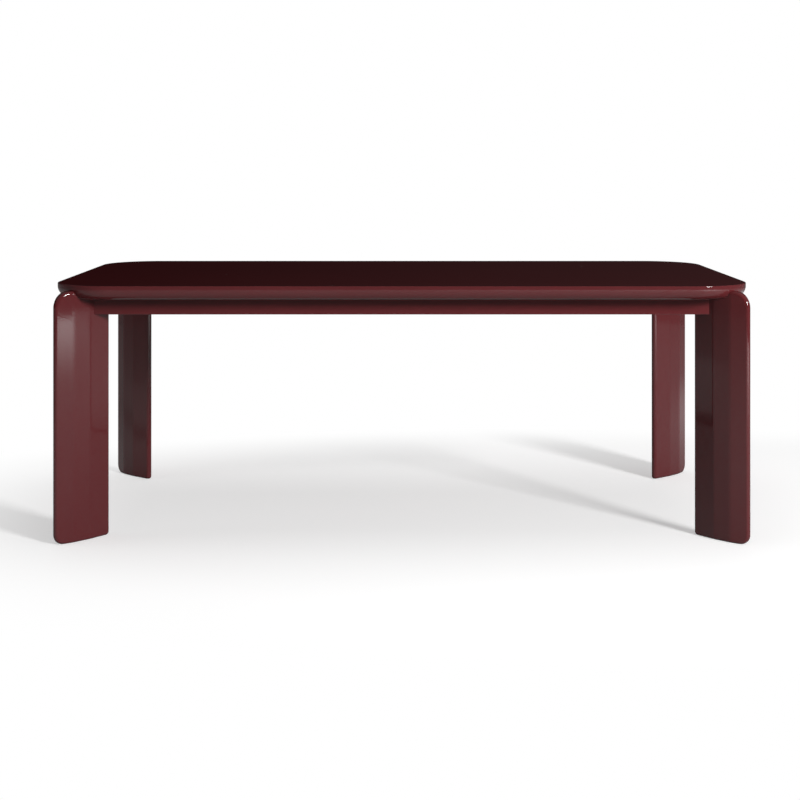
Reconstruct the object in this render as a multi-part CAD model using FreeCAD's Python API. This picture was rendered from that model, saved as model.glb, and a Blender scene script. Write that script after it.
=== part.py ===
import FreeCAD, Part
import math
import os

from FreeCAD import Vector

# A lacquered dining table: a slab top with rounded plan corners and an undercut edge, four broad legs with
# softly faceted faces set diagonally at the corners, and a low rail frame that the legs are bolted to.
# Millimetres. X runs along the table, Y from front to back, Z up. The origin is on the floor, mid-table.

# Tabletop
TABLE_LENGTH = 2088.0
TABLE_WIDTH = 1042.0
TABLE_HEIGHT = 760.0
TOP_THICKNESS = 42.0
TOP_CORNER_RADIUS = 178.0
TOP_ARRIS_RADIUS = 2.5
TOP_UNDERCUT_RADIUS = 32.0
TOP_BAND_LEAST = 2.0  # upright band that always stays between the arris and the undercut

# Legs: each stands on the corner's diagonal. Both its faces have a middle flat and two flanks that fall
# away to the edges, with a soft ridge on each side of the flat
LEG_WIDTH = 188.0
LEG_EDGE_THICKNESS = 20.0
LEG_MIDDLE_THICKNESS = 39.0
LEG_FLAT_WIDTH = 55.0
LEG_FLAT_OFFSET = 10.0  # flat's middle, outward from the leg's middle
LEG_RIDGE_RADIUS = 90.0
LEG_EDGE_ROUND_SHARE = 0.45  # of the edge thickness: a nearly full bullnose
LEG_TURN_DEG = 45.0
LEG_END_INSET = 90.0  # leg's middle, inward from the end of the top
LEG_SIDE_INSET = 72.0  # leg's middle, inward from the long side of the top
LEG_EAR_RISE = 24.0  # how far the outer shoulder rises past the underside of the top
LEG_SHOULDER_RADIUS = 48.0
LEG_TOE_RADIUS = 30.0
LEG_HEEL_RADIUS = 11.0
LEG_FOOT_TRIM = 1.5  # the round-over is sawn off flat this far up
LEG_SEAT_CUT = 9.0  # the inner end is planed back this much where it meets its corner block
FIT_CLEARANCE = 0.3

# Rail frame
RAIL_THICKNESS = 22.0
RAIL_HEIGHT = 49.5
RAIL_INSET = 83.0  # rail's outer face, inward from the edge of the top
RAIL_EDGE_ROUND = 2.0
CROSS_RAIL_THICKNESS = 22.0
CROSS_RAIL_HEIGHT = 44.0
CROSS_RAIL_COUNT = 3
TENON_THICKNESS = 9.0
TENON_HEIGHT = 28.0
TENON_LENGTH = 12.0
JOINT_CLEARANCE = 0.1  # round a tenon or tongue
JOINT_END_GAP = 1.0  # past its end

# Corner blocks, and the hanger bolts that hold the legs to them
BLOCK_THICKNESS = 28.0
BLOCK_HEIGHT = 44.0
HANGER_RADIUS = 4.0
HANGER_BITE = 45.0  # length inside the leg
HANGER_STICK_OUT = 3.0  # past the nut
HANGER_SPACING = 22.0
HANGER_HOLE_CLEARANCE = 0.5
THREAD_CLEARANCE = 0.05
NUT_FLATS = 13.0
NUT_HEIGHT = 6.5
PLATE_WIDTH = 26.0
PLATE_HEIGHT = 40.0
PLATE_THICKNESS = 3.0

# Buttons that hold the top down: their tongues catch in slots in the rails
BUTTON_LENGTH = 34.0
BUTTON_WIDTH = 26.0
BUTTON_HEIGHT = 19.0
BUTTON_NOSE_CHAMFER = 6.0
TONGUE_LENGTH = 9.0
TONGUE_HEIGHT = 9.0
END_BUTTON_PLACE_SHARE = 0.35  # of the long rails' inner distance from the middle

# Glides: two slip discs under each leg
GLIDE_RADIUS = 8.0
GLIDE_THICKNESS = 1.0
GLIDE_SPACING = 110.0

OVERRUN = 20.0  # one overrun for every cutting tool

# Heights and places that follow from the sizes above
underside_z = TABLE_HEIGHT - TOP_THICKNESS
rail_bottom_z = underside_z - RAIL_HEIGHT
block_bottom_z = underside_z - BLOCK_HEIGHT
foot_z = GLIDE_THICKNESS
leg_x = TABLE_LENGTH / 2 - LEG_END_INSET
leg_y = TABLE_WIDTH / 2 - LEG_SIDE_INSET
long_rail_outer_y = TABLE_WIDTH / 2 - RAIL_INSET
long_rail_inner_y = long_rail_outer_y - RAIL_THICKNESS
end_rail_outer_x = TABLE_LENGTH / 2 - RAIL_INSET
end_rail_inner_x = end_rail_outer_x - RAIL_THICKNESS
bay_length = 2 * end_rail_inner_x / (CROSS_RAIL_COUNT + 1)
undercut_radius = min(TOP_UNDERCUT_RADIUS, TOP_THICKNESS - TOP_ARRIS_RADIUS - TOP_BAND_LEAST)

UP = Vector(0, 0, 1)
DOWN = Vector(0, 0, -1)
turn = math.radians(LEG_TURN_DEG)
OUTWARD = Vector(math.cos(turn), math.sin(turn), 0)  # along the back right leg, away from mid-table
ACROSS = Vector(-math.sin(turn), math.cos(turn), 0)
leg_centre = Vector(leg_x, leg_y, 0)
CORNERS = {"back_right": (1, 1), "back_left": (-1, 1), "front_right": (1, -1), "front_left": (-1, -1)}


def polygon(points):
    """Face inside a closed run of straight edges."""
    return Part.Face(Part.makePolygon(list(points) + [points[0]]))


def rounded_polygon(corners):
    """Face inside straight edges whose corners, each given with its radius, are rounded by arcs."""
    points = [corner for corner, _ in corners]
    starts, arcs, ends = [], [], []
    for i, (corner, radius) in enumerate(corners):
        before = (points[i - 1] - corner).normalize()
        after = (points[(i + 1) % len(points)] - corner).normalize()
        half_angle = before.getAngle(after) / 2
        reach = radius / math.tan(half_angle)
        starts.append(corner + before * reach)
        ends.append(corner + after * reach)
        if radius > 0:
            middle = corner + (before + after).normalize() * (radius / math.sin(half_angle) - radius)
            arcs.append(Part.Arc(starts[i], middle, ends[i]).toShape())
    straights = [Part.LineSegment(ends[i - 1], starts[i]).toShape() for i in range(len(corners))]
    return Part.Face(Part.Wire(Part.sortEdges(straights + arcs)[0]))


def to_corner(shape, corner):
    """Mirrors a shape made at the back right corner to another corner."""
    sign_x, sign_y = CORNERS[corner]
    if sign_x < 0:
        shape = shape.mirror(Vector(0, 0, 0), Vector(1, 0, 0))
    if sign_y < 0:
        shape = shape.mirror(Vector(0, 0, 0), Vector(0, 1, 0))
    return shape


def four_corners(shapes):
    """Copies of back right shapes at all four corners, in one list."""
    return [to_corner(shape, corner) for corner in CORNERS for shape in shapes]


def export(name, shapes):
    """Writes one node, a solid or a group of separate solids."""
    group = shapes if isinstance(shapes, list) else [shapes]
    solids = [solid for shape in group for solid in shape.Solids]
    node = solids[0] if len(solids) == 1 else Part.makeCompound(solids)
    node.exportStep(os.path.join("parts", name + ".step"))
    print(name, len(solids), "solid(s)", round(sum(s.Volume for s in solids)), "mm3")


# The tabletop


def top_blank(grow):
    """Tabletop slab, optionally grown in plan, with its arris and its undercut edge."""
    length, width = TABLE_LENGTH + 2 * grow, TABLE_WIDTH + 2 * grow
    slab = Part.makeBox(length, width, TOP_THICKNESS, Vector(-length / 2, -width / 2, underside_z))
    uprights = [e for e in slab.Edges if e.Vertexes[0].Point.z != e.Vertexes[-1].Point.z]
    slab = slab.makeFillet(TOP_CORNER_RADIUS + grow, uprights)
    slab = slab.makeFillet(TOP_ARRIS_RADIUS, [e for e in slab.Edges if e.BoundBox.ZMin > underside_z])
    middle_z = underside_z + TOP_THICKNESS / 2
    return slab.makeFillet(undercut_radius, [e for e in slab.Edges if e.BoundBox.ZMax < middle_z])


# The legs, drawn about their own middle with X along the leg's width, then turned into place


def place_on_leg(shape):
    """Turns and moves a shape drawn along X about the leg's own middle to its place in the table."""
    shape.Placement = FreeCAD.Placement(leg_centre, FreeCAD.Rotation(UP, LEG_TURN_DEG))
    return shape


def leg_elevation():
    """Side outline of a leg: round shoulder and toe on the outer edge, small round heel inside."""
    outer, inner = LEG_WIDTH / 2, -LEG_WIDTH / 2
    low, high = foot_z - LEG_FOOT_TRIM, underside_z + LEG_EAR_RISE
    return rounded_polygon([
        (Vector(outer, 0, low), LEG_TOE_RADIUS), (Vector(outer, 0, high), LEG_SHOULDER_RADIUS),
        (Vector(inner, 0, high), 0), (Vector(inner, 0, low), LEG_HEEL_RADIUS),
    ])


def leg_plan(grow):
    """Plan of a leg: on each face a middle flat and two flanks, which meet the flat end edges."""
    half = LEG_WIDTH / 2 + grow
    edge = LEG_EDGE_THICKNESS / 2 + grow
    middle = LEG_MIDDLE_THICKNESS / 2 + grow
    ridges = [LEG_FLAT_OFFSET + LEG_FLAT_WIDTH / 2, LEG_FLAT_OFFSET - LEG_FLAT_WIDTH / 2]
    face = [(half, edge, 0), (ridges[0], middle, LEG_RIDGE_RADIUS), (ridges[1], middle, LEG_RIDGE_RADIUS),
            (-half, edge, 0)]
    other_face = [(x, -y, radius) for x, y, radius in reversed(face)]
    return rounded_polygon([(Vector(x, y, 0), radius) for x, y, radius in face + other_face])


def leg_clearance():
    """The leg's plan grown by the fit clearance, full height: what the rail ends are scribed with."""
    return place_on_leg(leg_plan(FIT_CLEARANCE).extrude(UP * TABLE_HEIGHT))


def is_edge_wall(face):
    """Whether a face of the leg's blank belongs to its narrow edge, not to one of its broad faces."""
    u_first, u_last, v_first, v_last = face.ParameterRange
    normal = face.normalAt((u_first + u_last) / 2, (v_first + v_last) / 2)
    return abs(normal.y) < max(abs(normal.x), abs(normal.z))


def is_on_one_side(edge):
    """Whether an edge of the leg's blank stays on one side of the leg's middle plane."""
    return edge.BoundBox.YMin > 0 or edge.BoundBox.YMax < 0


def leg_blank():
    """Leg before its joints are cut, with the bullnose run all the way round its edge."""
    breadth = LEG_MIDDLE_THICKNESS + 2 * OVERRUN
    slab = leg_elevation().extrude(Vector(0, breadth, 0))
    slab.translate(Vector(0, -breadth / 2, 0))
    upright = leg_plan(0).extrude(UP * (TABLE_HEIGHT + 2 * OVERRUN))
    upright.translate(DOWN * OVERRUN)
    blank = slab.common(upright).Solids[0]
    rim = [edge for face in blank.Faces if is_edge_wall(face) for edge in face.Edges if is_on_one_side(edge)]
    return blank.makeFillet(LEG_EDGE_ROUND_SHARE * LEG_EDGE_THICKNESS, rim)


def seat_point():
    """Where the leg's centre line meets the outer face of its corner block, at floor level."""
    return leg_centre - OUTWARD * (LEG_WIDTH / 2 - LEG_SEAT_CUT)


def hanger_starts():
    """Points on the leg's seat where each hanger bolt crosses from the block into the leg."""
    middle = seat_point() + UP * (block_bottom_z + BLOCK_HEIGHT / 2)
    return [middle - UP * (HANGER_SPACING / 2), middle + UP * (HANGER_SPACING / 2)]


def make_leg():
    """Back right leg, scribed round the top's edge, planed to seat on its block and bored."""
    sawn_floor = Part.makeBox(
        LEG_WIDTH, 2 * LEG_MIDDLE_THICKNESS, OVERRUN, Vector(-LEG_WIDTH / 2, -LEG_MIDDLE_THICKNESS, foot_z - OVERRUN)
    )
    planed_seat = Part.makeBox(
        OVERRUN, 2 * LEG_MIDDLE_THICKNESS, BLOCK_HEIGHT + OVERRUN,
        Vector(LEG_SEAT_CUT - LEG_WIDTH / 2 - OVERRUN, -LEG_MIDDLE_THICKNESS, block_bottom_z),
    )
    bores = [
        Part.makeCylinder(HANGER_RADIUS + THREAD_CLEARANCE, HANGER_BITE + JOINT_END_GAP, start, OUTWARD)
        for start in hanger_starts()
    ]
    tools = [top_blank(FIT_CLEARANCE), place_on_leg(sawn_floor), place_on_leg(planed_seat)]
    return place_on_leg(leg_blank()).cut(tools + bores)


def make_glides():
    """Slip discs on the back right leg's foot."""
    places = [leg_centre + OUTWARD * (side * GLIDE_SPACING / 2) for side in (-1, 1)]
    return [Part.makeCylinder(GLIDE_RADIUS, GLIDE_THICKNESS, place, UP) for place in places]


# The rail frame


def round_lower_edges(rail, along):
    """Softens the two lower edges that run the rail's length."""
    lower = []
    for edge in rail.Edges:
        first, last = edge.Vertexes[0].Point, edge.Vertexes[-1].Point
        if abs((last - first).dot(along)) > 0 and edge.BoundBox.ZMax < underside_z - RAIL_HEIGHT / 2:
            lower.append(edge)
    return rail.makeFillet(RAIL_EDGE_ROUND, lower)


def pocket(origin, into_rail, width, top, height, depth):
    """Tool for a mortise or slot in a rail: origin is on its inner face, top is its depth below origin."""
    sideways = UP.cross(into_rail)
    start = origin - sideways * (width / 2) + DOWN * top
    corners = [start, start + sideways * width, start + sideways * width + DOWN * height, start + DOWN * height]
    return polygon([point - into_rail * OVERRUN for point in corners]).extrude(into_rail * (depth + OVERRUN))


def cross_rail_places():
    """X of each cross rail's middle."""
    return [(i + 1) * bay_length - end_rail_inner_x for i in range(CROSS_RAIL_COUNT)]


def mortises():
    """Tools for the cross rails' mortises in the back rail."""
    top = (CROSS_RAIL_HEIGHT - TENON_HEIGHT) / 2 - JOINT_CLEARANCE
    width, height = TENON_THICKNESS + 2 * JOINT_CLEARANCE, TENON_HEIGHT + 2 * JOINT_CLEARANCE
    return [
        pocket(Vector(x, long_rail_inner_y, underside_z), Vector(0, 1, 0), width, top, height,
               TENON_LENGTH + JOINT_END_GAP)
        for x in cross_rail_places()
    ]


def long_button_places():
    """Points on the back rail's inner face, at the underside of the top, one in each bay."""
    bays = range(CROSS_RAIL_COUNT + 1)
    return [Vector((i + 0.5) * bay_length - end_rail_inner_x, long_rail_inner_y, underside_z) for i in bays]


def end_button_places():
    """Points on the right end rail's inner face, at the underside of the top."""
    y = END_BUTTON_PLACE_SHARE * long_rail_inner_y
    return [Vector(end_rail_inner_x, side * y, underside_z) for side in (-1, 1)]


def button_slots(places, into_rail):
    """Tools for the slots that the buttons' tongues catch in."""
    width = BUTTON_WIDTH + 2 * JOINT_CLEARANCE
    top = BUTTON_HEIGHT - TONGUE_HEIGHT
    height = TONGUE_HEIGHT + JOINT_CLEARANCE
    return [
        pocket(place, into_rail, width, top, height, TONGUE_LENGTH + JOINT_END_GAP) for place in places
    ]


def make_long_rail():
    """Back rail, its ends scribed to the legs' faces, with its mortises and button slots."""
    middle_y = long_rail_inner_y + RAIL_THICKNESS / 2
    half = leg_x - (leg_y - middle_y) / math.tan(turn)
    rail = Part.makeBox(2 * half, RAIL_THICKNESS, RAIL_HEIGHT, Vector(-half, long_rail_inner_y, rail_bottom_z))
    rail = round_lower_edges(rail, Vector(1, 0, 0))
    clearance = leg_clearance()
    slots = button_slots(long_button_places(), Vector(0, 1, 0))
    return rail.cut([clearance, to_corner(clearance, "back_left")] + mortises() + slots)


def make_end_rail():
    """Right end rail, its ends scribed to the legs' faces, with its button slots."""
    middle_x = end_rail_inner_x + RAIL_THICKNESS / 2
    half = leg_y - (leg_x - middle_x) * math.tan(turn)
    rail = Part.makeBox(RAIL_THICKNESS, 2 * half, RAIL_HEIGHT, Vector(end_rail_inner_x, -half, rail_bottom_z))
    rail = round_lower_edges(rail, Vector(0, 1, 0))
    clearance = leg_clearance()
    slots = button_slots(end_button_places(), Vector(1, 0, 0))
    return rail.cut([clearance, to_corner(clearance, "front_right")] + slots)


def make_cross_rail(x):
    """Cross rail between the long rails, with a stub tenon at each end."""
    bottom_z = underside_z - CROSS_RAIL_HEIGHT
    rail = Part.makeBox(
        CROSS_RAIL_THICKNESS, 2 * long_rail_inner_y, CROSS_RAIL_HEIGHT,
        Vector(x - CROSS_RAIL_THICKNESS / 2, -long_rail_inner_y, bottom_z),
    )
    reach = long_rail_inner_y + TENON_LENGTH
    tenons = Part.makeBox(
        TENON_THICKNESS, 2 * reach, TENON_HEIGHT,
        Vector(x - TENON_THICKNESS / 2, -reach, bottom_z + (CROSS_RAIL_HEIGHT - TENON_HEIGHT) / 2),
    )
    return rail.fuse(tenons).removeSplitter()


def make_button(place, into_rail):
    """Wooden button: its body under the top, its lower tongue in the rail's slot, its nose chamfered."""
    sideways = UP.cross(into_rail)

    def at(out, down):
        return place - into_rail * out + DOWN * down - sideways * (BUTTON_WIDTH / 2)

    step = BUTTON_HEIGHT - TONGUE_HEIGHT
    profile = [
        at(JOINT_END_GAP, 0), at(BUTTON_LENGTH, 0), at(BUTTON_LENGTH, BUTTON_HEIGHT - BUTTON_NOSE_CHAMFER),
        at(BUTTON_LENGTH - BUTTON_NOSE_CHAMFER, BUTTON_HEIGHT), at(-TONGUE_LENGTH, BUTTON_HEIGHT),
        at(-TONGUE_LENGTH, step), at(JOINT_END_GAP, step),
    ]
    return polygon(profile).extrude(sideways * BUTTON_WIDTH)


def make_buttons():
    """All the buttons, along both long rails and both end rails."""
    along_back = [make_button(place, Vector(0, 1, 0)) for place in long_button_places()]
    at_right = [make_button(place, Vector(1, 0, 0)) for place in end_button_places()]
    along_front = [to_corner(button, "front_right") for button in along_back]
    at_left = [to_corner(button, "back_left") for button in at_right]
    return along_back + at_right + along_front + at_left


# The corner blocks and their hardware


def block_corners():
    """Plan corners of a corner block: it spans from the long rail to the end rail, square to the leg."""
    outer = seat_point().dot(OUTWARD)
    inner = outer - BLOCK_THICKNESS

    def on_long_rail(distance):
        return Vector((distance - OUTWARD.y * long_rail_inner_y) / OUTWARD.x, long_rail_inner_y, block_bottom_z)

    def on_end_rail(distance):
        return Vector(end_rail_inner_x, (distance - OUTWARD.x * end_rail_inner_x) / OUTWARD.y, block_bottom_z)

    return [on_long_rail(outer), on_end_rail(outer), on_end_rail(inner), on_long_rail(inner)]


def make_corner_block():
    """Back right corner block, bored for the hanger bolts."""
    bores = [
        Part.makeCylinder(HANGER_RADIUS + HANGER_HOLE_CLEARANCE, BLOCK_THICKNESS + OVERRUN, start, OUTWARD * -1)
        for start in hanger_starts()
    ]
    return polygon(block_corners()).extrude(UP * BLOCK_HEIGHT).cut(bores)


def make_backing_plate():
    """Steel plate on the block's inner face, under both nuts."""
    middle = seat_point() - OUTWARD * BLOCK_THICKNESS + UP * (block_bottom_z + BLOCK_HEIGHT / 2)
    side, rise = ACROSS * (PLATE_WIDTH / 2), UP * (PLATE_HEIGHT / 2)
    corners = [middle - side - rise, middle + side - rise, middle + side + rise, middle - side + rise]
    bores = [
        Part.makeCylinder(HANGER_RADIUS + HANGER_HOLE_CLEARANCE, BLOCK_THICKNESS + OVERRUN, start, OUTWARD * -1)
        for start in hanger_starts()
    ]
    return polygon(corners).extrude(OUTWARD * -PLATE_THICKNESS).cut(bores)


def make_hanger_bolt(start):
    """Headless bolt, its wood end in the leg and its other end past the nut."""
    inside = BLOCK_THICKNESS + PLATE_THICKNESS + NUT_HEIGHT + HANGER_STICK_OUT
    return Part.makeCylinder(HANGER_RADIUS, inside + HANGER_BITE, start - OUTWARD * inside, OUTWARD)


def make_nut(start):
    """Hexagon nut on the backing plate."""
    seat = start - OUTWARD * (BLOCK_THICKNESS + PLATE_THICKNESS)
    corner_radius = NUT_FLATS / 2 / math.cos(math.pi / 6)
    sixths = [i * math.pi / 3 for i in range(6)]
    corners = [seat + (ACROSS * math.cos(a) + UP * math.sin(a)) * corner_radius for a in sixths]
    bore = Part.makeCylinder(HANGER_RADIUS + THREAD_CLEARANCE, NUT_HEIGHT, seat, OUTWARD * -1)
    return polygon(corners).extrude(OUTWARD * -NUT_HEIGHT).cut(bore)


def main():
    """Builds every piece and writes one STEP file for each node."""
    os.makedirs("parts", exist_ok=True)
    export("tabletop", top_blank(0))

    long_rail, end_rail = make_long_rail(), make_end_rail()
    export("back_rail", long_rail)
    export("front_rail", to_corner(long_rail, "front_right"))
    export("right_end_rail", end_rail)
    export("left_end_rail", to_corner(end_rail, "back_left"))
    for number, x in enumerate(cross_rail_places(), 1):
        export(f"cross_rail_{number}", make_cross_rail(x))
    export("top_buttons", make_buttons())

    leg, block, glides = make_leg(), make_corner_block(), make_glides()
    for corner in CORNERS:
        export(f"leg_{corner}", to_corner(leg, corner))
        export(f"corner_block_{corner}", to_corner(block, corner))
        export(f"glides_{corner}", [to_corner(glide, corner) for glide in glides])

    starts = hanger_starts()
    export("hanger_bolts", four_corners([make_hanger_bolt(start) for start in starts]))
    export("hanger_bolt_nuts", four_corners([make_nut(start) for start in starts]))
    export("backing_plates", four_corners([make_backing_plate()]))


main()
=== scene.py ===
import logging
import math
from collections.abc import Callable
from dataclasses import dataclass
from enum import Enum

import bmesh
import bpy
from mathutils import Matrix, Vector


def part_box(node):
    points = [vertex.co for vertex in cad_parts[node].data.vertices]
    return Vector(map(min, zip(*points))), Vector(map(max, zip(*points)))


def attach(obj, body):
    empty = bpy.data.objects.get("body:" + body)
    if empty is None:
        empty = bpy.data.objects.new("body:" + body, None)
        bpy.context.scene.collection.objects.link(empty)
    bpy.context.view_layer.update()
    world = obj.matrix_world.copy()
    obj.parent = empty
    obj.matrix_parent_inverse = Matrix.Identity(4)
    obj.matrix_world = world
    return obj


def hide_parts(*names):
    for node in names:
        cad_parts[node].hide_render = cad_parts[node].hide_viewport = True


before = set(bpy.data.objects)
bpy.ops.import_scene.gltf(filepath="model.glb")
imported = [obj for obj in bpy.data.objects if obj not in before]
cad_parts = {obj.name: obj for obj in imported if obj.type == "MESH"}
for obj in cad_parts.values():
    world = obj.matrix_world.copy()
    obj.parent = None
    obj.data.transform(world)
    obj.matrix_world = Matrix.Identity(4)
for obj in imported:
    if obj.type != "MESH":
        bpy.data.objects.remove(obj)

LOG = logging.getLogger("dining_table")
Colour = tuple[float, float, float]
Place = tuple[float, float, float]
Inputs = dict[str | int, object]

# Distances in metres under which two points, or two heights, count as the same.
SAME_POINT = 1e-7
SAME_HEIGHT = 1e-6


class Corner(Enum):
    """The table's four corners, as the signs of X and Y."""

    FRONT_LEFT = (-1, -1)
    FRONT_RIGHT = (1, -1)
    BACK_LEFT = (-1, 1)
    BACK_RIGHT = (1, 1)

    def node(self, stem: str) -> str:
        """Name of the node that stands at this corner."""
        return f"{stem}_{self.name.lower()}"

    def mirrors_once(self) -> bool:
        """Whether a piece drawn for the back right corner comes here by one mirroring alone."""
        return self.value[0] * self.value[1] < 0


class Grain(Enum):
    """Which way a board's grain runs, as its turn about Z from the X axis."""

    ALONG = 0.0
    ACROSS = math.pi / 2
    RISING = math.pi / 4
    FALLING = -math.pi / 4


class Shader:
    """A node tree under construction, with short calls to add nodes and to join them."""

    def __init__(self, owner: bpy.types.ID) -> None:
        """Starts an empty tree.

        Args:
            owner: the material or world that the tree belongs to.
        """
        owner.use_nodes = True
        self.tree = owner.node_tree
        self.tree.nodes.clear()

    def add(self, kind: str, inputs: Inputs | None = None, **settings: object) -> bpy.types.Node:
        """Adds one node.

        Args:
            kind: the node's type name, without the leading ShaderNode.
            inputs: socket names or numbers, each with a value or with an output socket to join to it.
            settings: attributes of the node itself.

        Returns:
            The new node.
        """
        node = self.tree.nodes.new("ShaderNode" + kind)
        for key, value in settings.items():
            setattr(node, key, value)
        for key, value in (inputs or {}).items():
            socket = node.inputs[key]
            if isinstance(value, bpy.types.NodeSocket):
                self.tree.links.new(value, socket)
            else:
                socket.default_value = value
        return node

    def place(self) -> bpy.types.NodeSocket:
        """Object coordinates."""
        return self.add("TexCoord").outputs["Object"]

    def grain_place(self, grain: Grain, stretch: float) -> bpy.types.NodeSocket:
        """Object coordinates that run along a board's grain.

        Args:
            grain: which way the grain runs.
            stretch: how many times longer a pattern becomes along the grain.

        Returns:
            The socket with the coordinates.
        """
        turned = self.add("Mapping", {"Vector": self.place(), "Rotation": (0, 0, -grain.value)}).outputs[0]
        return self.add("Mapping", {"Vector": turned, "Scale": (1 / stretch, 1, 1)}).outputs[0]

    def noise(
        self, place: bpy.types.NodeSocket, scale: float, detail: float = 2.0, roughness: float = 0.5,
    ) -> bpy.types.NodeSocket:
        """Adds a noise pattern.

        Args:
            place: the coordinates it reads.
            scale: its scale.
            detail: how many finer patterns lie over it.
            roughness: how strong these finer patterns are.

        Returns:
            The socket with the pattern, from 0 to 1.
        """
        inputs = {"Vector": place, "Scale": scale, "Detail": detail, "Roughness": roughness}
        return self.add("TexNoise", inputs).outputs["Fac"]

    def bump(self, pattern: bpy.types.NodeSocket, height: float) -> bpy.types.NodeSocket:
        """Adds a relief.

        Args:
            pattern: the pattern that stands out.
            height: how far it stands out, in metres.

        Returns:
            The socket with the bent normal.
        """
        return self.add("Bump", {"Height": pattern, "Strength": 1.0, "Distance": height}).outputs["Normal"]

    def ramp(
        self, value: bpy.types.NodeSocket, limits: tuple[float, float], results: tuple[float, float],
        smooth: bool = False,
    ) -> bpy.types.NodeSocket:
        """Turns one number into another.

        Args:
            value: the number.
            limits: its values where the result starts and stops changing.
            results: what it becomes at these two limits.
            smooth: whether the change starts and ends gently.

        Returns:
            The socket with the result.
        """
        inputs = {"Value": value, "From Min": limits[0], "From Max": limits[1],
                  "To Min": results[0], "To Max": results[1]}
        kind = "SMOOTHSTEP" if smooth else "LINEAR"
        return self.add("MapRange", inputs, interpolation_type=kind).outputs["Result"]

    def glow(self, strength: float | bpy.types.NodeSocket) -> bpy.types.NodeSocket:
        """A white surface that shines by itself, where a strength of 1 is white."""
        return self.add("Emission", {"Strength": strength}).outputs[0]

    def matt(self, grey: float) -> bpy.types.NodeSocket:
        """A matt grey surface."""
        return self.add("BsdfDiffuse", {"Color": (grey, grey, grey, 1)}).outputs[0]

    def sum(self, first: bpy.types.NodeSocket, second: bpy.types.NodeSocket) -> bpy.types.NodeSocket:
        """Two surfaces' light together."""
        return self.add("AddShader", {0: first, 1: second}).outputs[0]

    def mix(
        self, share: bpy.types.NodeSocket, first: bpy.types.NodeSocket, second: bpy.types.NodeSocket,
    ) -> bpy.types.NodeSocket:
        """The first surface where the share is 0, and the second where it is 1."""
        return self.add("MixShader", {0: share, 1: first, 2: second}).outputs[0]

    def principled(self, inputs: Inputs) -> None:
        """Adds a real finish's surface and joins it to the material's output."""
        self.finish(self.add("BsdfPrincipled", inputs).outputs["BSDF"])

    def finish(self, surface: bpy.types.NodeSocket) -> None:
        """Joins a surface to the material's output."""
        self.add("OutputMaterial", {"Surface": surface})


@dataclass(frozen=True)
class Lacquer:
    """Dark red polyester lacquer, sprayed and polished to a high gloss."""

    colour: Colour = (0.112, 0.0175, 0.0200)
    cloudiness: float = 0.06
    cloud_scale: float = 3.5
    cloud_detail: float = 3.0
    peel_scale: float = 170.0
    peel_detail: float = 1.0
    peel_height: float = 0.00002
    roughness: float = 0.45
    gloss_roughness: float = 0.045

    def material(self) -> bpy.types.Material:
        """Builds the lacquer.

        Returns:
            The material.
        """
        made = bpy.data.materials.new("dark_red_lacquer")
        shader = Shader(made)
        place = shader.place()
        clouds = shader.noise(place, self.cloud_scale, self.cloud_detail)
        tones = shader.add("ValToRGB", {"Fac": clouds})
        for stop, factor in zip(tones.color_ramp.elements, (1 - self.cloudiness, 1 + self.cloudiness)):
            stop.color = (*(channel * factor for channel in self.colour), 1)
        peel = shader.noise(place, self.peel_scale, self.peel_detail)
        shader.principled({
            "Base Color": tones.outputs["Color"],
            "Roughness": self.roughness,
            "Specular IOR Level": 0.0,
            "Coat Weight": 1.0,
            "Coat Roughness": self.gloss_roughness,
            "Coat Normal": shader.bump(peel, self.peel_height),
        })
        return made


@dataclass(frozen=True)
class BareWood:
    """Planed beech with no lacquer, as on the hidden parts of the frame."""

    grain: Grain
    dark: Colour = (0.42, 0.25, 0.14)
    light: Colour = (0.60, 0.40, 0.24)
    dark_below: float = 0.12
    light_above: float = 0.42
    stretch: float = 22.0
    fibre_scale: float = 60.0
    fibre_detail: float = 6.0
    fibre_roughness: float = 0.65
    fibre_height: float = 0.00015
    fleck_scale: float = 420.0
    fleck_detail: float = 2.0
    roughness: float = 0.6

    def material(self) -> bpy.types.Material:
        """Builds the wood.

        Returns:
            The material.
        """
        made = bpy.data.materials.new(f"bare_beech_{self.grain.name.lower()}")
        shader = Shader(made)
        place = shader.grain_place(self.grain, self.stretch)
        fibres = shader.noise(place, self.fibre_scale, self.fibre_detail, self.fibre_roughness)
        flecks = shader.noise(place, self.fleck_scale, self.fleck_detail)
        figure = shader.add("Math", {0: fibres, 1: flecks}, operation="MULTIPLY").outputs[0]
        tones = shader.add("ValToRGB", {"Fac": figure})
        low, high = tones.color_ramp.elements
        low.position, low.color = self.dark_below, (*self.dark, 1)
        high.position, high.color = self.light_above, (*self.light, 1)
        shader.principled({
            "Base Color": tones.outputs["Color"],
            "Roughness": self.roughness,
            "Normal": shader.bump(figure, self.fibre_height),
        })
        return made


@dataclass(frozen=True)
class ZincSteel:
    """Zinc-plated steel with a fine, slightly uneven brush."""

    colour: Colour = (0.62, 0.62, 0.60)
    smooth: float = 0.28
    dull: float = 0.5
    patch_scale: float = 90.0
    patch_detail: float = 4.0
    brush_scale: float = 1800.0
    brush_height: float = 0.00002

    def material(self) -> bpy.types.Material:
        """Builds the steel.

        Returns:
            The material.
        """
        made = bpy.data.materials.new("zinc_plated_steel")
        shader = Shader(made)
        place = shader.place()
        patches = shader.noise(place, self.patch_scale, self.patch_detail)
        gloss = shader.ramp(patches, (0.0, 1.0), (self.smooth, self.dull))
        brush = shader.noise(place, self.brush_scale)
        shader.principled({
            "Base Color": (*self.colour, 1),
            "Metallic": 1.0,
            "Roughness": gloss,
            "Normal": shader.bump(brush, self.brush_height),
        })
        return made


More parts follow.
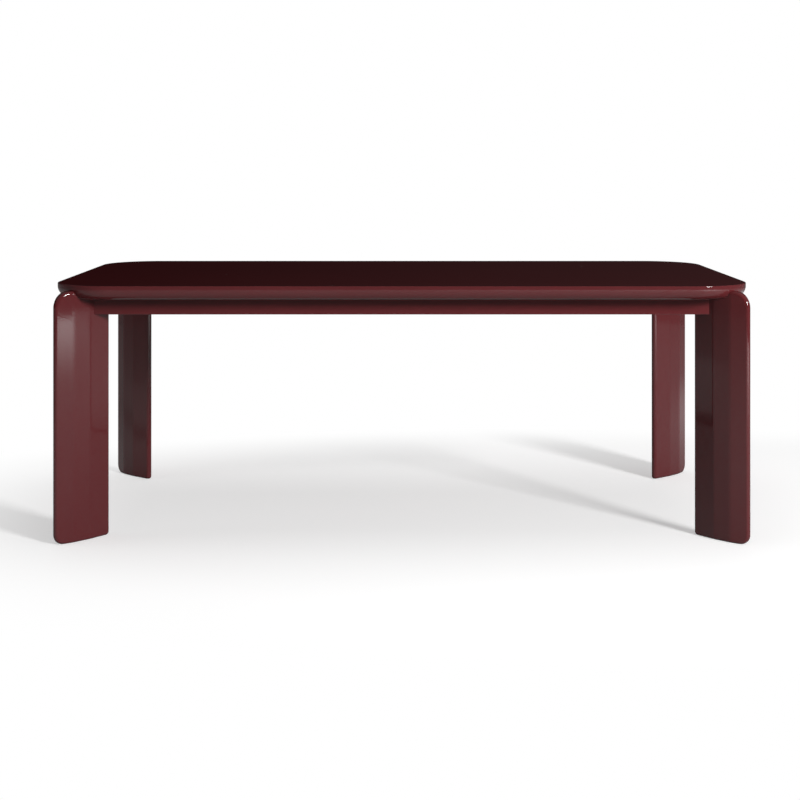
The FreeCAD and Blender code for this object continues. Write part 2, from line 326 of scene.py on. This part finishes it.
@dataclass(frozen=True)
class Nylon:
    """Black moulded nylon with a fine spark-eroded texture."""

    colour: Colour = (0.03, 0.03, 0.032)
    texture_scale: float = 1500.0
    texture_height: float = 0.00004
    roughness: float = 0.5

    def material(self) -> bpy.types.Material:
        """Builds the nylon.

        Returns:
            The material.
        """
        made = bpy.data.materials.new("black_nylon")
        shader = Shader(made)
        texture = shader.noise(shader.place(), self.texture_scale)
        shader.principled({
            "Base Color": (*self.colour, 1),
            "Roughness": self.roughness,
            "Normal": shader.bump(texture, self.texture_height),
        })
        return made


class Workpiece:
    """A bmesh on the bench, and the cuts and rounds that turn it into a piece."""

    def __init__(self) -> None:
        """Starts with nothing on the bench."""
        self.mesh = bmesh.new()

    def board(self, low: Vector, high: Vector) -> None:
        """Lays a flat rectangle in the XY plane.

        Args:
            low: its lowest corner.
            high: its highest corner; both corners have the same height.
        """
        bmesh.ops.create_grid(self.mesh, x_segments=1, y_segments=1, size=0.5)
        size = high - low
        bmesh.ops.scale(self.mesh, vec=(size.x, size.y, 1), verts=self.mesh.verts)
        bmesh.ops.translate(self.mesh, vec=(low + high) / 2, verts=self.mesh.verts)

    def round_plan_corners(
        self, radius: float, segments: int, pick: Callable[[Vector], bool] | None = None,
    ) -> None:
        """Rounds corners of a flat board.

        Args:
            radius: radius of each round.
            segments: number of facets in each round.
            pick: test of a corner's point that picks which corners are rounded; all of them if left out.
        """
        corners = [v for v in self.mesh.verts if pick is None or pick(v.co)]
        bmesh.ops.bevel(
            self.mesh, geom=corners, offset=radius, offset_type="OFFSET", segments=segments,
            profile=0.5, affect="VERTICES", clamp_overlap=False, material=-1,
        )

    def thicken(self, travel: Vector) -> None:
        """Extrudes the board into a slab.

        Args:
            travel: where the copy of the board's face goes.
        """
        made = bmesh.ops.extrude_face_region(self.mesh, geom=self.mesh.faces[:])
        moved = [item for item in made["geom"] if isinstance(item, bmesh.types.BMVert)]
        bmesh.ops.translate(self.mesh, vec=travel, verts=moved)
        bmesh.ops.recalc_face_normals(self.mesh, faces=self.mesh.faces)

    def round_edges(self, pick: Callable[[bmesh.types.BMEdge], bool], radius: float, segments: int) -> None:
        """Rounds edges over.

        Args:
            pick: test that picks the edges.
            radius: radius of the round.
            segments: number of facets across it.
        """
        bmesh.ops.bevel(
            self.mesh, geom=[e for e in self.mesh.edges if pick(e)], offset=radius, offset_type="OFFSET",
            segments=segments, profile=0.5, affect="EDGES", clamp_overlap=False, material=-1,
        )

    def saw(self, point: Vector, normal: Vector, drop: bool) -> None:
        """Cuts along a plane.

        Args:
            point: a point on the plane.
            normal: the plane's normal.
            drop: whether what lies on the normal's side falls away and the cut is closed.
        """
        made = bmesh.ops.bisect_plane(
            self.mesh, geom=self.mesh.verts[:] + self.mesh.edges[:] + self.mesh.faces[:], dist=SAME_POINT,
            plane_co=point, plane_no=normal, clear_outer=drop,
        )
        if drop:
            rim = [item for item in made["geom_cut"] if isinstance(item, bmesh.types.BMEdge)]
            bmesh.ops.holes_fill(self.mesh, edges=rim, sides=0)

    def turn(self, profile: list[Vector], segments: int) -> None:
        """Turns a solid about the Z axis.

        Args:
            profile: the outline in the XZ plane, from one end on the axis to the other.
            segments: number of facets round the solid.
        """
        points = [self.mesh.verts.new(point) for point in profile]
        line = [self.mesh.edges.new(pair) for pair in zip(points, points[1:])]
        bmesh.ops.spin(self.mesh, geom=points + line, axis=(0, 0, 1), cent=(0, 0, 0), angle=math.tau,
                       steps=segments, use_merge=True)
        bmesh.ops.remove_doubles(self.mesh, verts=self.mesh.verts, dist=SAME_POINT)

    def take_off(self, name: str) -> bpy.types.Object:
        """Makes the finished mesh an object and clears the bench.

        Args:
            name: the object's name.

        Returns:
            The object, linked to the scene.
        """
        bmesh.ops.recalc_face_normals(self.mesh, faces=self.mesh.faces)
        data = bpy.data.meshes.new(name)
        self.mesh.to_mesh(data)
        self.mesh.free()
        piece = bpy.data.objects.new(name, data)
        bpy.context.scene.collection.objects.link(piece)
        return piece


def carve(piece: bpy.types.Object, cutter: bpy.types.Object) -> None:
    """Cuts one closed mesh out of another and removes the cutter.

    Args:
        piece: the object that is cut.
        cutter: the object whose volume is taken away.
    """
    cut = piece.modifiers.new("carve", "BOOLEAN")
    cut.operation, cut.solver, cut.object = "DIFFERENCE", "EXACT", cutter
    bpy.context.view_layer.update()
    seen = piece.evaluated_get(bpy.context.evaluated_depsgraph_get())
    whole = piece.data
    piece.data = bpy.data.meshes.new_from_object(seen)
    piece.data.name = piece.name
    piece.modifiers.remove(cut)
    bpy.data.meshes.remove(whole)
    bpy.data.objects.remove(cutter)


def polish(piece: bpy.types.Object, crease: float, finish: bpy.types.Material) -> None:
    """Shades a piece smooth, with sharp edges kept and flat faces read as flat, and gives it its finish.

    Args:
        piece: the object.
        crease: angle in radians past which an edge stays sharp.
        finish: its material.
    """
    piece.data.shade_smooth()
    piece.data.set_sharp_from_angle(angle=crease)
    weigh = piece.modifiers.new("flat faces stay flat", "WEIGHTED_NORMAL")
    weigh.keep_sharp = True
    piece.data.materials.append(finish)


def dress(name: str, finish: bpy.types.Material) -> None:
    """Gives a solid's own object a finish.

    Args:
        name: the node's name.
        finish: its material.
    """
    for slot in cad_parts[name].material_slots:
        slot.material = finish


@dataclass
class Tabletop:
    """Slab top: rounded corners in plan, a small upper arris and a quarter-round undercut."""

    corner_radius: float = 0.178
    arris_radius: float = 0.0025
    undercut_radius: float = 0.032
    corner_segments: int = 48
    arris_segments: int = 4
    undercut_segments: int = 16
    crease: float = math.radians(50)

    def slab(self, name: str, grow: float = 0.0) -> bpy.types.Object:
        """Models the slab.

        Args:
            name: the object's name.
            grow: how far the outline stands outside the top's own.

        Returns:
            The slab.
        """
        low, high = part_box("tabletop")
        margin = Vector((grow, grow, 0))
        middle = (low.z + high.z) / 2
        level = high.z - SAME_HEIGHT
        slab = Workpiece()
        slab.board(Vector((low.x, low.y, high.z)) - margin, high + margin)
        slab.round_plan_corners(self.corner_radius + grow, self.corner_segments)
        slab.thicken(Vector((0, 0, low.z - high.z)))
        slab.round_edges(
            lambda e: all(v.co.z < middle for v in e.verts), self.undercut_radius, self.undercut_segments)
        slab.round_edges(
            lambda e: all(v.co.z > level for v in e.verts), self.arris_radius, self.arris_segments)
        return slab.take_off(name)

    def build(self, lacquer: bpy.types.Material) -> None:
        """Makes the top and puts it in place of its solid.

        Args:
            lacquer: its finish.
        """
        top = self.slab("lacquered_top")
        polish(top, self.crease, lacquer)
        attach(top, "root")
        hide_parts("tabletop")
        LOG.info("tabletop: %d faces", len(top.data.polygons))


@dataclass
class Legs:
    """Four broad legs, three flats on each face, rounded over all round and scribed to the top's edge."""

    width: float = 0.188
    edge_thickness: float = 0.020
    middle_thickness: float = 0.039
    flat_width: float = 0.055
    flat_offset: float = 0.010
    ridge_radius: float = 0.090
    edge_round: float = 0.009
    ear_rise: float = 0.024
    shoulder_radius: float = 0.048
    toe_radius: float = 0.030
    heel_radius: float = 0.011
    foot_trim: float = 0.0015
    seat_cut: float = 0.009
    fit_clearance: float = 0.0003
    end_inset: float = 0.090
    side_inset: float = 0.072
    ridge_segments: int = 8
    corner_segments: int = 20
    round_segments: int = 8
    broad_normal: float = 0.9
    crease: float = math.radians(32)

    def flank_angle(self, side: int) -> float:
        """Angle that the flank falls away from the flat, on its outer side (1) or its inner side (-1)."""
        run = (self.width - self.flat_width) / 2 - side * self.flat_offset
        return math.atan2((self.middle_thickness - self.edge_thickness) / 2, run)

    def ridge(self, side: int) -> tuple[float, float]:
        """Finds the round that softens one ridge.

        Args:
            side: 1 for the outer ridge, -1 for the inner one.

        Returns:
            Where the round starts and ends, as distances from the flat's middle.
        """
        angle = self.flank_angle(side)
        start = self.flat_width / 2 - self.ridge_radius * math.tan(angle / 2)
        return start, start + self.ridge_radius * math.sin(angle)

    def half_thickness(self, across: float) -> float:
        """Finds half of the leg's thickness.

        Args:
            across: place along the leg's width, from its middle.

        Returns:
            Half of the thickness there.
        """
        middle = self.middle_thickness / 2
        side = 1 if across > self.flat_offset else -1
        past = abs(across - self.flat_offset)
        start, end = self.ridge(side)
        if past < start:
            return middle
        if past < end:
            return middle - self.ridge_radius + math.sqrt(self.ridge_radius**2 - (past - start) ** 2)
        return middle - (past - self.flat_width / 2) * math.tan(self.flank_angle(side))

    def is_rim(self, edge: bmesh.types.BMEdge) -> bool:
        """Whether an edge runs round the outline of one of the leg's two broad faces."""
        broad = [abs(face.normal.y) > self.broad_normal for face in edge.link_faces]
        return len(broad) == 2 and broad[0] != broad[1]

    def plank(self, foot: float) -> Workpiece:
        """Cuts a plank to the leg's outline, upright about its own middle.

        Args:
            foot: height of the leg's foot.

        Returns:
            The plank, its width along X and its even thickness along Y.
        """
        half = self.width / 2
        low, high = foot - self.foot_trim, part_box("tabletop")[0].z + self.ear_rise
        plank = Workpiece()
        plank.board(Vector((-half, low, 0)), Vector((half, high, 0)))
        corners = (
            (self.shoulder_radius, lambda p: p.x > 0 and p.y > foot),
            (self.toe_radius, lambda p: p.x > 0 and p.y < foot),
            (self.heel_radius, lambda p: p.x < 0 and p.y < foot),
        )
        for radius, pick in corners:
            plank.round_plan_corners(radius, self.corner_segments, pick)
        upright = Matrix.Rotation(math.pi / 2, 3, "X")
        bmesh.ops.rotate(plank.mesh, cent=(0, 0, 0), matrix=upright, verts=plank.mesh.verts)
        bmesh.ops.translate(plank.mesh, vec=(0, self.middle_thickness / 2, 0), verts=plank.mesh.verts)
        plank.thicken(Vector((0, -self.middle_thickness, 0)))
        return plank

    def blank(self, name: str) -> bpy.types.Object:
        """Models a leg upright about its own middle.

        Args:
            name: the object's name.

        Returns:
            The leg with no joints cut.
        """
        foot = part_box("leg_back_right")[0].z
        leg = self.plank(foot)
        for side in (1, -1):
            start, end = self.ridge(side)
            for i in range(self.ridge_segments + 1):
                past = start + (end - start) * i / self.ridge_segments
                leg.saw(Vector((self.flat_offset + side * past, 0, 0)), Vector((1, 0, 0)), drop=False)
        for vert in leg.mesh.verts:
            vert.co.y = math.copysign(self.half_thickness(vert.co.x), vert.co.y)
        leg.round_edges(self.is_rim, self.edge_round, self.round_segments)
        leg.saw(Vector((0, 0, foot)), Vector((0, 0, -1)), drop=True)
        return leg.take_off(name)

    def seat(self) -> bpy.types.Object:
        """Models the block that planes the leg's inner end flat where it meets its corner block.

        Returns:
            The cutter, drawn about the leg's own middle.
        """
        bottom, top = (corner.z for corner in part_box("corner_block_back_right"))
        start = self.seat_cut - self.width / 2
        seat = Workpiece()
        seat.board(Vector((start - self.width, -self.width, bottom)), Vector((start, self.width, bottom)))
        seat.thicken(Vector((0, 0, 2 * (top - bottom))))
        return seat.take_off("seat_cutter")

    def build(self, lacquer: bpy.types.Material, top: Tabletop) -> None:
        """Makes the four legs and puts them in place of their solids.

        Args:
            lacquer: their finish.
            top: the tabletop that they are scribed to.
        """
        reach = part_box("tabletop")[1]
        middle = Vector((reach.x - self.end_inset, reach.y - self.side_inset, 0))
        pattern = self.blank("leg_pattern")
        carve(pattern, self.seat())
        pattern.data.transform(Matrix.Translation(middle) @ Matrix.Rotation(math.pi / 4, 4, "Z"))
        carve(pattern, top.slab("top_cutter", self.fit_clearance))
        LOG.info("legs: %d faces each", len(pattern.data.polygons))
        for corner in Corner:
            data = pattern.data.copy()
            data.transform(Matrix.Diagonal((*corner.value, 1, 1)))
            if corner.mirrors_once():
                data.flip_normals()
            leg = bpy.data.objects.new(corner.node("lacquered_leg"), data)
            bpy.context.scene.collection.objects.link(leg)
            polish(leg, self.crease, lacquer)
            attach(leg, "root")
            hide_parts(corner.node("leg"))
        bpy.data.objects.remove(pattern)


@dataclass
class RailFrame:
    """Rails, cross rails, corner blocks and buttons: the solids' shapes with their real finishes."""

    outer_rails: tuple[str, ...] = ("front_rail", "back_rail", "left_end_rail", "right_end_rail")
    cross_rails: tuple[str, ...] = ("cross_rail_1", "cross_rail_2", "cross_rail_3")

    def build(self, lacquer: bpy.types.Material) -> None:
        """Gives each piece its finish.

        Args:
            lacquer: finish of the four outer rails.
        """
        for name in self.outer_rails:
            dress(name, lacquer)
        woods = {grain: BareWood(grain).material() for grain in Grain}
        for name in self.cross_rails:
            dress(name, woods[Grain.ACROSS])
        dress("top_buttons", woods[Grain.ALONG])
        for corner in Corner:
            grain = Grain.RISING if corner.mirrors_once() else Grain.FALLING
            dress(corner.node("corner_block"), woods[grain])
        LOG.info("rail frame: dressed")


@dataclass
class ButtonScrews:
    """Wood screws with domed, cross-recessed heads that hold the buttons to the top."""

    shank_radius: float = 0.0019
    length: float = 0.028
    head_radius: float = 0.0042
    head_height: float = 0.0024
    recess_width: float = 0.0012
    recess_length: float = 0.0048
    recess_depth: float = 0.0015
    reach: float = 0.017
    bays: int = 4
    end_share: float = 0.35
    turn_steps: int = 5
    segments: int = 32
    dome_steps: int = 8
    crease: float = math.radians(40)

    def pattern(self) -> bpy.types.Object:
        """Models one screw, point up, its head's underside at the origin.

        Returns:
            The screw.
        """
        angles = [i * math.pi / 2 / self.dome_steps for i in range(self.dome_steps + 1)]
        dome = [Vector((self.head_radius * math.sin(a), 0, -self.head_height * math.cos(a))) for a in angles]
        dome[0].x = 0.0
        tip = self.length - 2 * self.shank_radius
        shank = [Vector((self.shank_radius, 0, height)) for height in (0, tip)]
        screw = Workpiece()
        screw.turn([*dome, *shank, Vector((0, 0, self.length))], self.segments)
        piece = screw.take_off("screw_pattern")
        deep = Vector((0, 0, self.recess_depth - self.head_height))
        arms = ((self.recess_length, self.recess_width), (self.recess_width, self.recess_length))
        for across, along in arms:
            corner = Vector((across / 2, along / 2, 0))
            cutter = Workpiece()
            cutter.board(deep - corner, deep + corner)
            cutter.thicken(Vector((0, 0, -self.head_height)))
            carve(piece, cutter.take_off("recess_cutter"))
        return piece

    def places(self) -> list[Vector]:
        """Finds where each head seats, on the underside of its button, for all twelve buttons.

        Returns:
            The points.
        """
        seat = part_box("top_buttons")[0].z
        end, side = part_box("right_end_rail")[0].x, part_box("back_rail")[0].y
        along_shares = [(2 * i + 1 - self.bays) / self.bays for i in range(self.bays)]
        along = [Vector((end * share, side - self.reach, seat)) for share in along_shares]
        across_shares = (self.end_share, -self.end_share)
        across = [Vector((end - self.reach, side * share, seat)) for share in across_shares]
        halves = (Matrix.Identity(3), Matrix.Rotation(math.pi, 3, "Z"))
        return [half @ point for point in along + across for half in halves]

    def build(self, steel: bpy.types.Material) -> None:
        """Makes the screws as one piece.

        Args:
            steel: their finish.
        """
        pattern = self.pattern()
        box = Workpiece()
        for i, place in enumerate(self.places()):
            copy = pattern.data.copy()
            copy.transform(Matrix.Translation(place) @ Matrix.Rotation(i * math.pi / self.turn_steps, 4, "Z"))
            box.mesh.from_mesh(copy)
            bpy.data.meshes.remove(copy)
        bpy.data.objects.remove(pattern)
        screws = box.take_off("button_screws")
        polish(screws, self.crease, steel)
        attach(screws, "root")
        LOG.info("button screws: %d faces", len(screws.data.polygons))


@dataclass
class Hardware:
    """Hanger bolts, nuts and backing plates, the buttons' screws, and the glides under the feet."""

    steel_nodes: tuple[str, ...] = ("hanger_bolts", "hanger_bolt_nuts", "backing_plates")

    def build(self) -> None:
        """Gives each piece its finish and makes the buttons' screws."""
        steel = ZincSteel().material()
        for name in self.steel_nodes:
            dress(name, steel)
        ButtonScrews().build(steel)
        nylon = Nylon().material()
        for corner in Corner:
            dress(corner.node("glides"), nylon)
        LOG.info("hardware: dressed")


@dataclass(frozen=True)
class PaintedLightPool:
    """A round pool of painted light on the floor, a glow brightest in its middle."""

    middle: Place
    radius: float
    light: float

    def glow(self, shader: Shader, place: bpy.types.NodeSocket) -> bpy.types.NodeSocket:
        """Adds the pool's painted light.

        Args:
            shader: the floor's nodes.
            place: the floor's coordinates.

        Returns:
            The socket with the painted light.
        """
        away = shader.add("VectorMath", {0: place, 1: self.middle}, operation="DISTANCE").outputs["Value"]
        return shader.glow(shader.ramp(away, (0.0, self.radius), (self.light, 0.0), smooth=True))


@dataclass(frozen=True)
class WhiteFloor:
    """Studio floor: white with the table's soft shadow, plainer in bounced light, and to mirrored rays a pale
    floor with two pools of painted light and a painted dim glow further out.
    """

    own_light: float = 0.43
    lit_grey: float = 0.70
    white_stretch: Place = (0.5, 1.0, 1.0)
    white_shift: Place = (-0.40, 0.1, 0.0)
    white_from: float = 0.90
    white_to: float = 1.5
    mirrored_grey: float = 0.62
    # Past this radius mirrored rays see a painted dim glow in place of the lit floor.
    mirrored_radius: float = 5.88
    painted_dim_far_glow: float = 0.15
    # Two pools of painted light that only mirrored rays see: a bright one at the front right, a weaker one at
    # the back right.
    painted_spill_pool: PaintedLightPool = PaintedLightPool(middle=(3.8, -3.7, 0.0), radius=2.7, light=1.8)
    painted_back_pool: PaintedLightPool = PaintedLightPool(middle=(1.9, 1.5, 0.0), radius=1.4, light=0.55)
    bounce_grey: float = 0.38

    def seen(self, shader: Shader, place: bpy.types.NodeSocket) -> bpy.types.NodeSocket:
        """Adds what the camera sees: the lit floor round the table, which turns plain white further out.

        Args:
            shader: the floor's nodes.
            place: the floor's coordinates.

        Returns:
            The socket with the surface.
        """
        near = shader.sum(shader.glow(self.own_light), shader.matt(self.lit_grey))
        oval = shader.add("VectorMath", {0: place, 1: self.white_stretch, 2: self.white_shift},
                          operation="MULTIPLY_ADD").outputs["Vector"]
        distance = shader.add("VectorMath", {0: oval}, operation="LENGTH").outputs["Value"]
        fade = shader.ramp(distance, (self.white_from, self.white_to), (0.0, 1.0), smooth=True)
        return shader.mix(fade, near, shader.glow(1.0))

    def mirrored(self, shader: Shader, place: bpy.types.NodeSocket) -> bpy.types.NodeSocket:
        """Adds what the lacquer mirrors: a pale floor with two pools of painted light, and a painted dim glow
        in place of the floor further out.

        Args:
            shader: the floor's nodes.
            place: the floor's coordinates.

        Returns:
            The socket with the surface.
        """
        # Painted light: the two pools glow on the floor in mirrored rays only.
        painted_pools = shader.sum(self.painted_spill_pool.glow(shader, place), self.painted_back_pool.glow(shader, place))
        inside = shader.sum(painted_pools, shader.matt(self.mirrored_grey))
        # Past the radius the floor is swapped for a painted dim glow in mirrored rays.
        reach = shader.add("VectorMath", {0: place}, operation="LENGTH").outputs["Value"]
        past = shader.add("Math", {0: reach, 1: self.mirrored_radius}, operation="GREATER_THAN").outputs[0]
        return shader.mix(past, inside, shader.glow(self.painted_dim_far_glow))

    def material(self) -> bpy.types.Material:
        """Builds the floor's finish.

        Returns:
            The material.
        """
        made = bpy.data.materials.new("studio_floor")
        shader = Shader(made)
        rays = shader.add("LightPath").outputs
        place = shader.place()
        bounced = shader.matt(self.bounce_grey)
        other = shader.mix(rays["Is Glossy Ray"], bounced, self.mirrored(shader, place))
        shader.finish(shader.mix(rays["Is Camera Ray"], other, self.seen(shader, place)))
        return made


@dataclass(frozen=True)
class Surroundings:
    """White to the camera, and for the light a sky that darkens to the horizon, with a haze at the right."""

    sky_low: float = 0.10
    sky_high: float = 0.75
    sky_light: float = 0.20
    haze_spread: float = 0.25
    haze_light: float = 0.014

    def world(self) -> bpy.types.World:
        """Builds the surroundings.

        Returns:
            The world.
        """
        made = bpy.data.worlds.new("studio")
        shader = Shader(made)
        camera = shader.add("LightPath").outputs["Is Camera Ray"]
        axes = shader.add("SeparateXYZ", {0: shader.add("TexCoord").outputs["Generated"]}).outputs
        sky = shader.ramp(axes["Z"], (self.sky_low, self.sky_high), (0.0, self.sky_light))
        haze = shader.ramp(axes["X"], (-self.haze_spread, self.haze_spread), (0.0, self.haze_light))
        light = shader.add("Math", {0: sky, 1: haze}, operation="ADD").outputs[0]
        dim = shader.add("Background", {"Strength": light}).outputs[0]
        white = shader.add("Background", {"Color": (1, 1, 1, 1), "Strength": 1.0}).outputs[0]
        shader.add("OutputWorld", {"Surface": shader.mix(camera, dim, white)})
        return made


@dataclass(frozen=True)
class Softbox:
    """A rectangular studio lamp, which lights everything or only its receivers."""

    name: str
    place: Place
    size: tuple[float, float]
    power: float
    aim: Place = (0.0, 0.0, 0.5)
    receivers: bpy.types.Collection | None = None
    mirrored: bool = True

    def hang(self) -> None:
        """Hangs the lamp, out of the camera's sight and, if it is not mirrored, out of mirrored rays."""
        data = bpy.data.lights.new(self.name, "AREA")
        data.shape, data.energy = "RECTANGLE", self.power
        data.size, data.size_y = self.size
        lamp = bpy.data.objects.new(self.name, data)
        lamp.location = self.place
        lamp.rotation_mode = "QUATERNION"
        lamp.rotation_quaternion = (Vector(self.aim) - Vector(self.place)).to_track_quat("-Z", "Y")
        lamp.visible_camera = False
        lamp.visible_glossy = self.mirrored
        lamp.light_linking.receiver_collection = self.receivers
        bpy.context.scene.collection.objects.link(lamp)


@dataclass(frozen=True)
class Camera:
    """Level camera in front of the table's middle, with the frame shifted down."""

    place: Place = (-0.0041, -4.9343, 1.1515)
    sensor_width: float = 36.0
    lens: float = 67.80
    shift: tuple[float, float] = (-0.0005, -0.3091)
    sight: float = 200.0

    def set_up(self) -> None:
        """Sets up the camera."""
        data = bpy.data.cameras.new("camera")
        data.sensor_width, data.lens = self.sensor_width, self.lens
        data.shift_x, data.shift_y = self.shift
        data.clip_end = self.sight
        camera = bpy.data.objects.new("camera", data)
        camera.location = self.place
        camera.rotation_euler = (math.pi / 2, 0, 0)
        bpy.context.scene.collection.objects.link(camera)
        bpy.context.scene.camera = camera


@dataclass
class Studio:
    """White floor, lamps, surroundings and camera."""

    floor_size: float = 60.0

    def floor(self) -> bpy.types.Object:
        """Lays the floor.

        Returns:
            The floor.
        """
        half = self.floor_size / 2
        ground = Workpiece()
        ground.board(Vector((-half, -half, 0)), Vector((half, half, 0)))
        floor = ground.take_off("studio_floor")
        floor.data.materials.append(WhiteFloor().material())
        return floor

    def lamps(self, floor: bpy.types.Object) -> None:
        """Hangs the softboxes.

        Args:
            floor: the floor, which the overhead lamp lights alone and the rear lamp leaves out.
        """
        floor_alone = bpy.data.collections.new("floor_alone")
        all_but_floor = bpy.data.collections.new("all_but_floor")
        for group, state in ((floor_alone, "INCLUDE"), (all_but_floor, "EXCLUDE")):
            group.objects.link(floor)
            group.collection_objects[0].light_linking.link_state = state
        softboxes = (
            Softbox("key", place=(4.6, -5.5, 3.15), size=(1.2, 1.8), power=565.0),
            Softbox("fill", place=(-3.0, -0.6, 1.0), size=(1.2, 1.2), power=6.0, mirrored=False),
            Softbox("rear", place=(0, 6.5, 1.6), size=(3.0, 1.5), power=240.0,
                    receivers=all_but_floor, mirrored=False),
            Softbox("overhead", place=(0, 0.5, 5.6), size=(4.6, 4.6), power=95.0, aim=(0, 0, 0),
                    receivers=floor_alone),
        )
        for softbox in softboxes:
            softbox.hang()

    def build(self) -> None:
        """Sets up everything round the table."""
        scene = bpy.context.scene
        floor = self.floor()
        scene.world = Surroundings().world()
        self.lamps(floor)
        Camera().set_up()
        scene.view_settings.view_transform = "Standard"
        LOG.info("studio: ready")


def main() -> None:
    """Builds the table and its studio, in order."""
    logging.basicConfig(level=logging.INFO, format="%(name)s: %(message)s")
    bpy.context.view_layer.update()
    lacquer = Lacquer().material()
    top = Tabletop()
    top.build(lacquer)
    Legs().build(lacquer, top)
    RailFrame().build(lacquer)
    Hardware().build()
    Studio().build()


if __name__ == "__main__":
    main()
